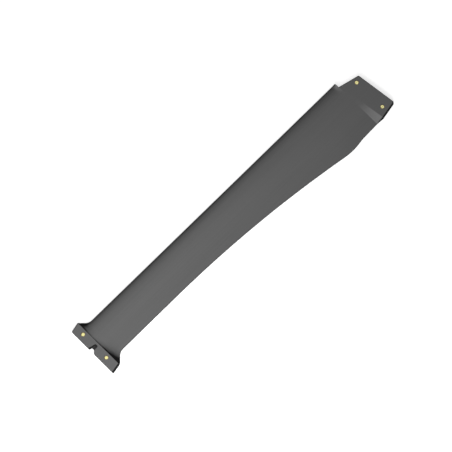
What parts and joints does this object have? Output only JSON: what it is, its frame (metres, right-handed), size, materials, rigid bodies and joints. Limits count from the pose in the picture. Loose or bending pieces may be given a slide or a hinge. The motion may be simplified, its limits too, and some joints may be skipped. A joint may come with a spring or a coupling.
{
  "type": "hydrofoil mast",
  "caption": "One-piece moulded carbon hydrofoil mast with a raked foot block, a swept trailing edge and a tapered box head, with brass barrel nuts for its screws",
  "frame": {"origin": "on the foot's seating face, midway between its two screw holes, in the mid-plane of the thickness", "axes": "+X along the mast from the foot to the head, +Y to the leading edge, +Z through the thickness, so the mast lies on its broad side"},
  "size_m": [0.9575, 0.1712, 0.02],
  "materials": {
    "carbon": "satin lacquered carbon laminate, anthracite",
    "brass": "turned brass"
  },
  "bodies": {
    "root": {"mast": "carbon", "foot_nut_front": "brass", "foot_nut_rear": "brass", "head_nut_front": "brass", "head_nut_rear": "brass"}
  },
  "joints": []
}
